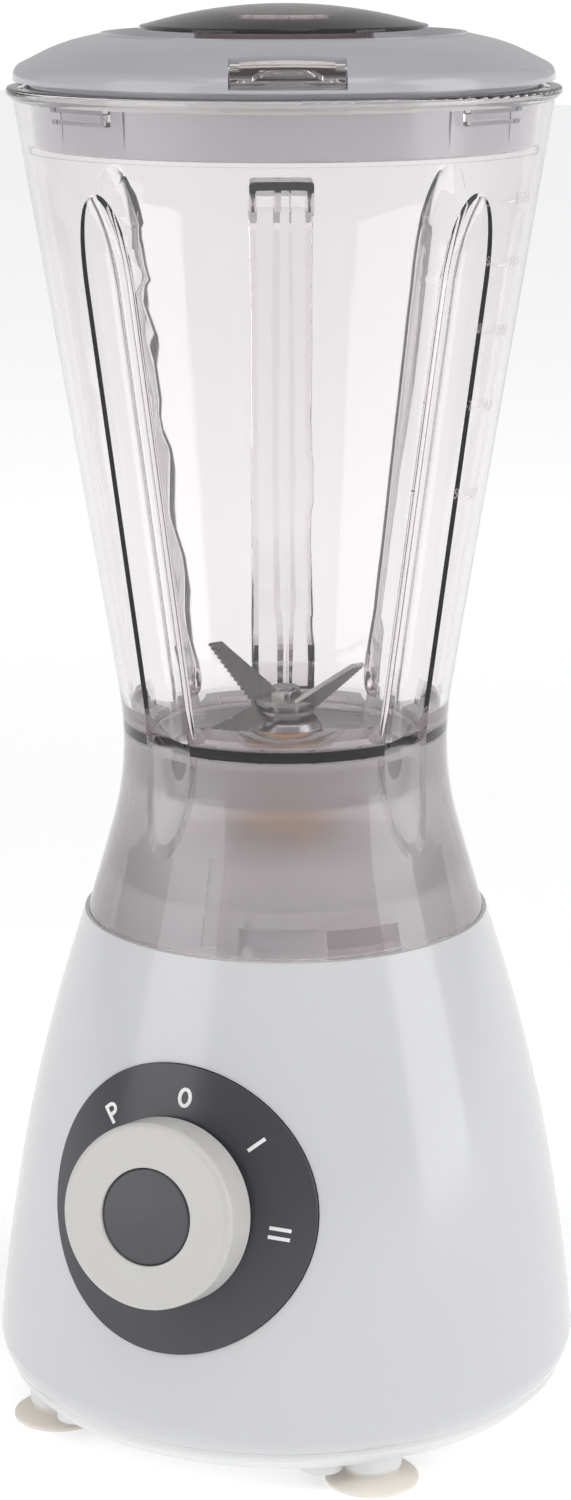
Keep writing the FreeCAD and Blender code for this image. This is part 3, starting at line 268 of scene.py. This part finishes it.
MATERIALS = {
    "white": moulded("shell_white", (0.60, 0.605, 0.62), 0.17, coat=0.12, vary=0.01, depth=0.01),
    "pan": moulded("pan_white", (0.74, 0.745, 0.75), 0.42, vary=0.02, depth=0.06),
    "lid": moulded("lid_grey", (0.41, 0.405, 0.435), 0.16, coat=0.1, vary=0.01, depth=0.01),
    "dial": moulded("dial_grey", (0.055, 0.054, 0.065), 0.24, vary=0.04),
    "knob": moulded("knob_white", (0.57, 0.56, 0.545), 0.32, vary=0.015, depth=0.04, subsurface=0.05),
    "cup": moulded("cup_cream", (0.80, 0.765, 0.70), 0.45, depth=0.05, subsurface=0.2),
    "black": moulded("black_plastic", (0.025, 0.025, 0.027), 0.45, grain=1400.0, depth=0.10, vary=0.15),
    "jar": jar_plastic("jar_clear", (0.985, 0.974, 0.976), (0.79, 0.765, 0.775), rough=0.012, haze=0.48,
                       passing=0.75, ior=1.47, soak=26.0, soak_colour=(0.50, 0.41, 0.44)),
    "smoke": clear("smoke_clear", (0.90, 0.86, 0.855), 0.015, 1.42, soak=210.0,
                   soak_colour=(0.15, 0.02, 0.02)),
    "flap": clear("flap_clear", (0.74, 0.70, 0.69), 0.02, 1.45),
    # blade steel is darker than bare steel: painted dark reflection of the dim surroundings
    "steel": brushed("blade_steel", (0.33, 0.315, 0.31), 0.26, (1.0, 1.0, 6.0)),
    "shaft": brushed("shaft_steel", (0.60, 0.60, 0.61), 0.20, (6.0, 6.0, 0.5)),
    "zinc": moulded("zinc_plate", (0.66, 0.67, 0.69), 0.30, metal=1.0, vary=0.08, depth=0.05),
    "bronze": moulded("sintered_bronze", (0.52, 0.36, 0.18), 0.45, metal=1.0, grain=2500.0, depth=0.20,
                      vary=0.12),
    "copper": moulded("enamelled_wire", (0.55, 0.20, 0.07), 0.30, metal=0.8, grain=1800.0, depth=0.5,
                      vary=0.15, stretch=(0.2, 0.2, 3.0), coat=0.4),
    "lamination": moulded("stacked_steel", (0.25, 0.26, 0.27), 0.45, metal=0.9, grain=700.0, depth=0.5,
                          vary=0.1, stretch=(0.05, 0.05, 5.0)),
    "cast": moulded("die_cast", (0.52, 0.53, 0.54), 0.50, metal=1.0, grain=1500.0, depth=0.25, vary=0.08),
    "silicone": moulded("silicone", (0.62, 0.61, 0.60), 0.50, subsurface=0.2),
    "dark_rubber": moulded("dark_rubber", (0.03, 0.03, 0.03), 0.60, grain=1600.0, depth=0.12, vary=0.2),
    "carbon": moulded("graphite", (0.045, 0.045, 0.05), 0.55, grain=2500.0, depth=0.2, vary=0.2),
    "amber": moulded("amber_plastic", (0.60, 0.33, 0.11), 0.38, vary=0.08, depth=0.05, subsurface=0.2),
    "board": moulded("board", (0.24, 0.13, 0.05), 0.50, grain=500.0, depth=0.12, vary=0.15,
                     stretch=(1, 1, 4)),
    "mark": moulded("mark_white", (0.86, 0.86, 0.86), 0.40, vary=0.02, depth=0.03),
    "scale": moulded("scale_grey", (0.74, 0.71, 0.73), 0.45, depth=0.03),
}

LOOKS = {
    "base_shell": "white", "bottom_plate": "pan", "suction_feet": "cup", "case_screws": "zinc",
    "cord_gland": "black", "dial_plate": "dial", "control_knob": "knob", "knob_cap": "dial",
    "switch_shaft": "black", "switch_body": "black", "switch_terminals": "bronze",
    "stator_core": "lamination", "field_coils": "copper", "upper_motor_bracket": "cast",
    "lower_motor_bracket": "cast", "upper_bearing": "bronze", "lower_bearing": "bronze",
    "motor_bolts": "zinc", "bolt_spacers": "zinc", "rubber_mounts": "dark_rubber",
    "mount_screws": "zinc", "brush_holders": "black", "carbon_brushes": "carbon",
    "brush_springs": "zinc", "motor_seal": "dark_rubber", "motor_shaft": "shaft",
    "rotor_core": "lamination", "rotor_windings": "copper", "commutator": "copper",
    "cooling_fan": "black", "driver_coupling": "pan", "interlock_pin": "pan",
    "interlock_spring": "zinc", "interlock_switch": "black", "circuit_board": "board",
    "jar_seat_ring": "silicone", "jar": "jar", "bearing_housing": "steel", "housing_gasket": "silicone",
    "housing_nut": "amber", "shaft_bushing": "bronze", "shaft_seal": "dark_rubber",
    "blade_shaft": "shaft", "lower_blade": "steel", "upper_blade": "steel", "blade_washers": "steel",
    "blade_nut": "steel", "driven_coupling": "amber", "lid_shell": "lid", "pour_flap": "flap",
    "flap_pins": "zinc", "lid_seal": "silicone", "lid_cap": "smoke",
}

for name, look in LOOKS.items():
    mesh = nodes[name].data
    mesh.materials.clear()
    mesh.materials.append(MATERIALS[look])


# ---- marks laid on a surface -----------------------------------------------------------------------
def surface_of(node):
    mesh = nodes[node].data
    return BVHTree.FromPolygons([v.co for v in mesh.vertices], [p.vertices for p in mesh.polygons])


def laid_mesh(name, rows, material, body, place, lift):
    """A thin raised shape. rows holds strips of flat points, and place carries a point to the surface."""
    build = bmesh.new()
    for strip in rows:
        tops, feet = [], []
        for u, v in strip:
            spot, normal = place(u, v)
            tops.append(build.verts.new(spot + normal * lift))
            feet.append(build.verts.new(spot - normal * lift))
        half = len(strip) // 2
        for i in range(half - 1):
            a, b = 2 * i, 2 * i + 1
            c, d = 2 * i + 2, 2 * i + 3
            build.faces.new((tops[a], tops[b], tops[d], tops[c]))
            build.faces.new((feet[a], feet[c], feet[d], feet[b]))
            build.faces.new((tops[a], tops[c], feet[c], feet[a]))
            build.faces.new((tops[b], feet[b], feet[d], tops[d]))
        last = 2 * half - 2
        build.faces.new((tops[0], feet[0], feet[1], tops[1]))
        build.faces.new((tops[last], tops[last + 1], feet[last + 1], feet[last]))
    bmesh.ops.recalc_face_normals(build, faces=build.faces)
    mesh = bpy.data.meshes.new(name)
    build.to_mesh(mesh)
    build.free()
    piece = bpy.data.objects.new(name, mesh)
    bpy.context.scene.collection.objects.link(piece)
    mesh.materials.append(material)
    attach(piece, body)


def stroke(path, width):
    """Pairs of points either side of a path."""
    strip = []
    for i, (u, v) in enumerate(path):
        before = path[max(i - 1, 0)]
        after = path[min(i + 1, len(path) - 1)]
        du, dv = after[0] - before[0], after[1] - before[1]
        size = math.hypot(du, dv) or 1.0
        nu, nv = -dv / size * width / 2, du / size * width / 2
        strip += [(u + nu, v + nv), (u - nu, v - nv)]
    return strip


def straight(a, b, steps=6):
    return [(a[0] + (b[0] - a[0]) * i / steps, a[1] + (b[1] - a[1]) * i / steps) for i in range(steps + 1)]


def oval(cu, cv, ru, rv, first, last, steps=28):
    path = []
    for i in range(steps + 1):
        a = math.radians(first + (last - first) * i / steps)
        path.append((cu + ru * math.cos(a), cv + rv * math.sin(a)))
    return path


def upright_bar(u):
    return stroke(straight((u, -MARK_HEIGHT / 2), (u, MARK_HEIGHT / 2)), MARK_LINE)


def round_dial(strip, angle):
    """Carry a glyph, drawn upright about the origin, to its place round the dial."""
    a = math.radians(angle)
    out = []
    for u, v in strip:
        v += MARK_RING
        out.append((u * math.cos(a) + v * math.sin(a), -u * math.sin(a) + v * math.cos(a)))
    return out


# ---- the dial's marks ------------------------------------------------------------------------------
dial_surface = surface_of("dial_plate")
dial_normal = Vector((0, -math.cos(DIAL_TILT), math.sin(DIAL_TILT)))
dial_up = Vector((0, math.sin(DIAL_TILT), math.cos(DIAL_TILT)))
dial_centre = Vector((0, DIAL_FRONT_Y, DIAL_Z))


def on_dial(u, v):
    start = dial_centre + Vector((1, 0, 0)) * u + dial_up * v + dial_normal * DIAL_RAY
    spot, normal, _, _ = dial_surface.ray_cast(start, -dial_normal)
    return spot, normal


bowl_top = MARK_HEIGHT / 2 - MARK_LINE / 2
bowl = (straight((-0.0014, bowl_top), (0.0002, bowl_top), 3)
        + oval(0.0002, 0.00105, 0.0013, 0.0013, 90, -90, 14)
        + straight((0.0002, -0.00025), (-0.0014, -0.00025), 3))
letter_p = [upright_bar(-0.0014), stroke(bowl, MARK_LINE)]
nought = [stroke(oval(0, 0, 0.0016, bowl_top, 90, 450), MARK_LINE)]
one = [upright_bar(0)]
two = [upright_bar(-0.0013), upright_bar(0.0013)]
dial_rows = []
for glyph, angle in ((letter_p, -41.0), (nought, 4.0), (one, 48.0), (two, 95.0)):
    dial_rows += [round_dial(strip, angle) for strip in glyph]
laid_mesh("dial_marks", dial_rows, MATERIALS["mark"], "base", on_dial, MARK_LIFT)

# ---- the jar's scale -------------------------------------------------------------------------------
jar_surface = surface_of("jar")


def on_jar(u, v):
    """u runs round the jar from the middle of its scale, v is a height."""
    bearing = math.radians(JAR_TURN + SCALE_BEARING) + u / SCALE_R
    outward = Vector((math.sin(bearing), -math.cos(bearing), 0))
    spot, normal, _, _ = jar_surface.ray_cast(outward * SCALE_RAY + Vector((0, 0, v)), -outward)
    return spot, normal


# a doubled point turns a sharp corner
DIGITS = {
    "0": [oval(0, 0, 0.00075, 0.0013, 90, 450, 16)],
    "1": [straight((0, -0.0013), (0, 0.0013))],
    "2": [oval(0, 0.0006, 0.0007, 0.0007, 170, -30, 8) + straight((-0.0007, -0.0013), (0.0008, -0.0013), 3)],
    "5": [straight((0.0007, 0.0013), (-0.0006, 0.0013), 3) + [(-0.0006, 0.0002)] * 2
          + oval(-0.0001, -0.0005, 0.0008, 0.0008, 100, -140, 10)],
    "7": [straight((-0.0007, 0.0013), (0.0007, 0.0013), 3)
          + straight((0.0006, 0.0010), (-0.0002, -0.0013), 4)],
}
tick_ends = (-0.0085, -0.0040)
first_digit = -0.0020
digit_step = 0.0025
scale_rows = []
for level, figure in SCALE_LEVELS:
    scale_rows.append(stroke(straight((tick_ends[0], level), (tick_ends[1], level), 4), SCALE_TICK))
    for i, digit in enumerate(figure):
        shift = first_digit + digit_step * i
        for path in DIGITS[digit]:
            scale_rows.append(stroke([(u + shift, v + level) for u, v in path], SCALE_LINE))
laid_mesh("jar_scale", scale_rows, MATERIALS["scale"], "jar_unit", on_jar, SCALE_LIFT)

# ---- camera, floor and light -----------------------------------------------------------------------
view = math.radians(VIEW_BEARING)
camera_data = bpy.data.cameras.new("camera")
camera_data.sensor_fit = "VERTICAL"
camera_data.sensor_height = 36.0
camera_data.lens = VIEW_LENS
camera = bpy.data.objects.new("camera", camera_data)
bpy.context.scene.collection.objects.link(camera)
camera.rotation_mode = "XYZ"
camera.rotation_euler = (math.radians(90.0 - VIEW_PITCH), math.radians(VIEW_ROLL), view)
camera.location = (VIEW_DISTANCE * math.sin(view) + VIEW_SHIFT * math.cos(view),
                   -VIEW_DISTANCE * math.cos(view) + VIEW_SHIFT * math.sin(view), VIEW_HEIGHT)
bpy.context.scene.camera = camera


def flat_floor():
    """Pale floor that glows a little more away from the blender."""
    material, tree, shader = new_material("floor_white")
    shader.inputs["Base Color"].default_value = (0.93, 0.93, 0.93, 1)
    shader.inputs["Roughness"].default_value = 0.9
    shader.inputs["Emission Color"].default_value = (1, 1, 1, 1)
    texture = add_node(tree, "ShaderNodeTexCoord")
    away = add_node(tree, "ShaderNodeVectorMath", operation="LENGTH")
    tree.links.new(texture.outputs["Object"], away.inputs[0])
    glow = map_range(tree, away.outputs["Value"], FLOOR_GLOW_REACH, FLOOR_GLOW, smooth=True)
    tree.links.new(glow, shader.inputs["Emission Strength"])
    mesh = bpy.data.meshes.new("floor")
    s = FLOOR_HALF
    mesh.from_pydata([(-s, -s, 0), (s, -s, 0), (s, s, 0), (-s, s, 0)], [], [(0, 1, 2, 3)])
    floor = bpy.data.objects.new("floor", mesh)
    floor.location.z = -FLOOR_DROP
    bpy.context.scene.collection.objects.link(floor)
    mesh.materials.append(material)


def soft_light(name, bearing, elevation, distance, width, height, power):
    """Soft box aimed at the blender. Its bearing is counted from the camera's."""
    data = bpy.data.lights.new(name, "AREA")
    data.shape = "RECTANGLE"
    data.size = width
    data.size_y = height
    data.energy = power
    lamp = bpy.data.objects.new(name, data)
    b, e = math.radians(VIEW_BEARING + bearing), math.radians(elevation)
    lamp.location = (distance * math.sin(b) * math.cos(e), -distance * math.cos(b) * math.cos(e),
                     LAMP_AIM_Z + distance * math.sin(e))
    aim = Vector((0, 0, LAMP_AIM_Z)) - Vector(lamp.location)
    lamp.rotation_euler = aim.to_track_quat("-Z", "Y").to_euler()
    bpy.context.scene.collection.objects.link(lamp)


def studio_world():
    """A brighter backdrop straight ahead of the camera, dimmer all round, and white below the horizon."""
    world = bpy.data.worlds.new("studio")
    world.use_nodes = True
    tree = world.node_tree
    texture = add_node(tree, "ShaderNodeTexCoord")
    ahead = add_node(tree, "ShaderNodeVectorMath", operation="DOT_PRODUCT")
    ahead.inputs[1].default_value = (-math.sin(view), math.cos(view), 0.0)
    tree.links.new(texture.outputs["Generated"], ahead.inputs[0])
    sky = map_range(tree, ahead.outputs["Value"], SKY_EDGE, SKY_GLOW, smooth=True)
    split = add_node(tree, "ShaderNodeSeparateXYZ")
    tree.links.new(texture.outputs["Generated"], split.inputs["Vector"])
    ground = math_node(tree, "MULTIPLY", math_node(tree, "LESS_THAN", split.outputs["Z"], 0.0), GROUND_GLOW)
    background = tree.nodes["Background"]
    background.inputs["Color"].default_value = (1.0, 1.0, 1.0, 1)
    tree.links.new(math_node(tree, "MAXIMUM", ground, sky), background.inputs["Strength"])
    bpy.context.scene.world = world


flat_floor()
soft_light("left_box", bearing=-58, elevation=22, distance=1.6, width=1.1, height=1.7, power=9.8)
soft_light("right_box", bearing=72, elevation=20, distance=1.5, width=0.8, height=1.7, power=9.8)
soft_light("top_box", bearing=10, elevation=68, distance=1.7, width=1.4, height=1.2, power=11.0)
studio_world()
bpy.context.scene.view_settings.view_transform = "Standard"
